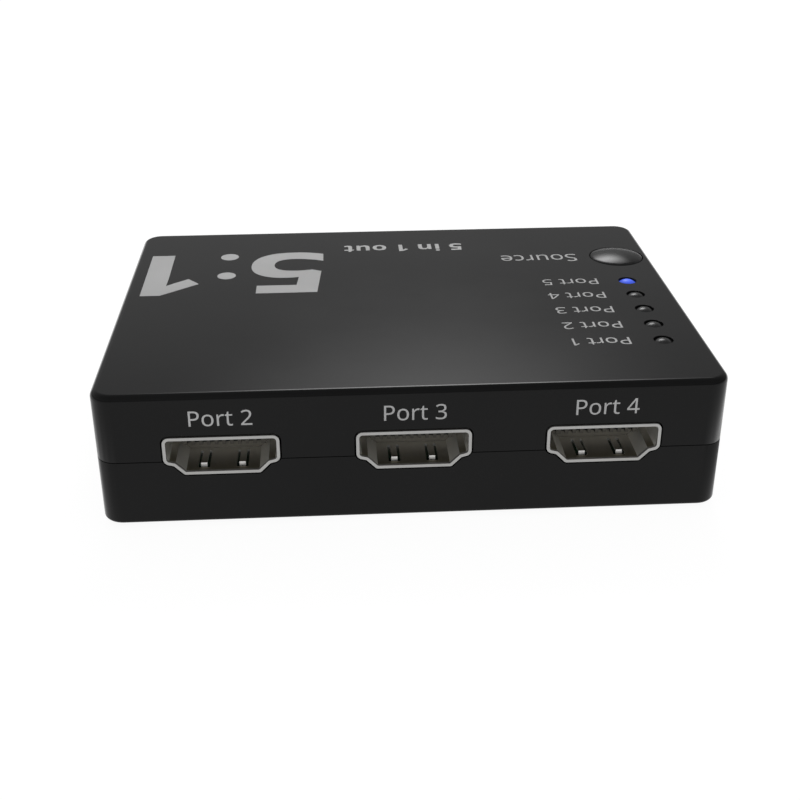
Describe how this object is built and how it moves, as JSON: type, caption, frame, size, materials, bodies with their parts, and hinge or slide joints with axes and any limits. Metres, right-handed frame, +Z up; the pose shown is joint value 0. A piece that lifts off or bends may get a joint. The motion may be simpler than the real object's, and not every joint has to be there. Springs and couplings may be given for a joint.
{
  "type": "video switch box",
  "caption": "Flat black box that switches one of several digital video inputs to an output, with sockets on both long sides, a domed select button and a row of indicators.",
  "frame": {"origin": "middle of the box's footprint, on the surface that its feet stand on", "axes": "+Z up; +X along the long sides towards the select button; -Y out of the face with inputs 2, 3 and 4"},
  "size_m": [0.081, 0.0604, 0.0199],
  "materials": {
    "casing_plastic": "fine satin moulding",
    "button_plastic": "smooth satin moulding",
    "moulded_black": "matt moulding",
    "board_laminate": "solder resist over glass laminate",
    "socket_metal": "nickel-plated folded sheet",
    "contact_gold": "gold flash",
    "sheet_metal": "drawn sheet",
    "spring_metal": "cold-rolled strip",
    "tinned_metal": "tinned",
    "screw_steel": "zinc plated",
    "foot_rubber": "matt",
    "light_guide_smoked": "smoked clear moulding",
    "light_guide_lit": "smoked clear moulding, lit blue",
    "lamp_resin": "cast resin",
    "chip_resin": "moulded resin",
    "ceramic": "fired ceramic"
  },
  "bodies": {
    "casing": {"top_cover": "casing_plastic", "bottom_cover": "casing_plastic", "circuit_board": "board_laminate", "case_screws": "screw_steel", "rubber_feet": "foot_rubber", "switch_base": "moulded_black", "switch_plate": "sheet_metal", "switch_dome": "spring_metal", "switch_terminals": "tinned_metal", "input_1_shell": "socket_metal", "input_1_insulator": "moulded_black", "input_1_contacts": "contact_gold", "input_2_shell": "socket_metal", "input_2_insulator": "moulded_black", "input_2_contacts": "contact_gold", "input_3_shell": "socket_metal", "input_3_insulator": "moulded_black", "input_3_contacts": "contact_gold", "input_4_shell": "socket_metal", "input_4_insulator": "moulded_black", "input_4_contacts": "contact_gold", "input_5_shell": "socket_metal", "input_5_insulator": "moulded_black", "input_5_contacts": "contact_gold", "output_shell": "socket_metal", "output_insulator": "moulded_black", "output_contacts": "contact_gold", "light_guide_1": "light_guide_smoked", "lamp_1": "lamp_resin", "light_guide_2": "light_guide_smoked", "lamp_2": "lamp_resin", "light_guide_3": "light_guide_smoked", "lamp_3": "lamp_resin", "light_guide_4": "light_guide_smoked", "lamp_4": "lamp_resin", "light_guide_5": "light_guide_lit", "lamp_5": "lamp_resin", "power_jack_body": "moulded_black", "power_jack_pin": "tinned_metal", "power_jack_spring": "spring_metal", "video_chip": "chip_resin", "video_chip_leads": "tinned_metal", "control_chip": "chip_resin", "control_chip_leads": "tinned_metal", "voltage_regulator": "chip_resin", "regulator_leads": "tinned_metal", "crystal": "sheet_metal", "bulk_capacitors": "sheet_metal", "ceramic_capacitors": "ceramic", "resistors": "chip_resin"},
    "button": {"select_button": "button_plastic", "switch_plunger": "moulded_black"}
  },
  "joints": [
    {"name": "button_press", "type": "slide", "parent": "casing", "child": "button", "axis": [0, 0, -1], "range_m": [0, 0.0004], "stiffness_N_per_m": 4000, "springref_m": -0.0002, "deforming": ["switch_dome"]}
  ]
}
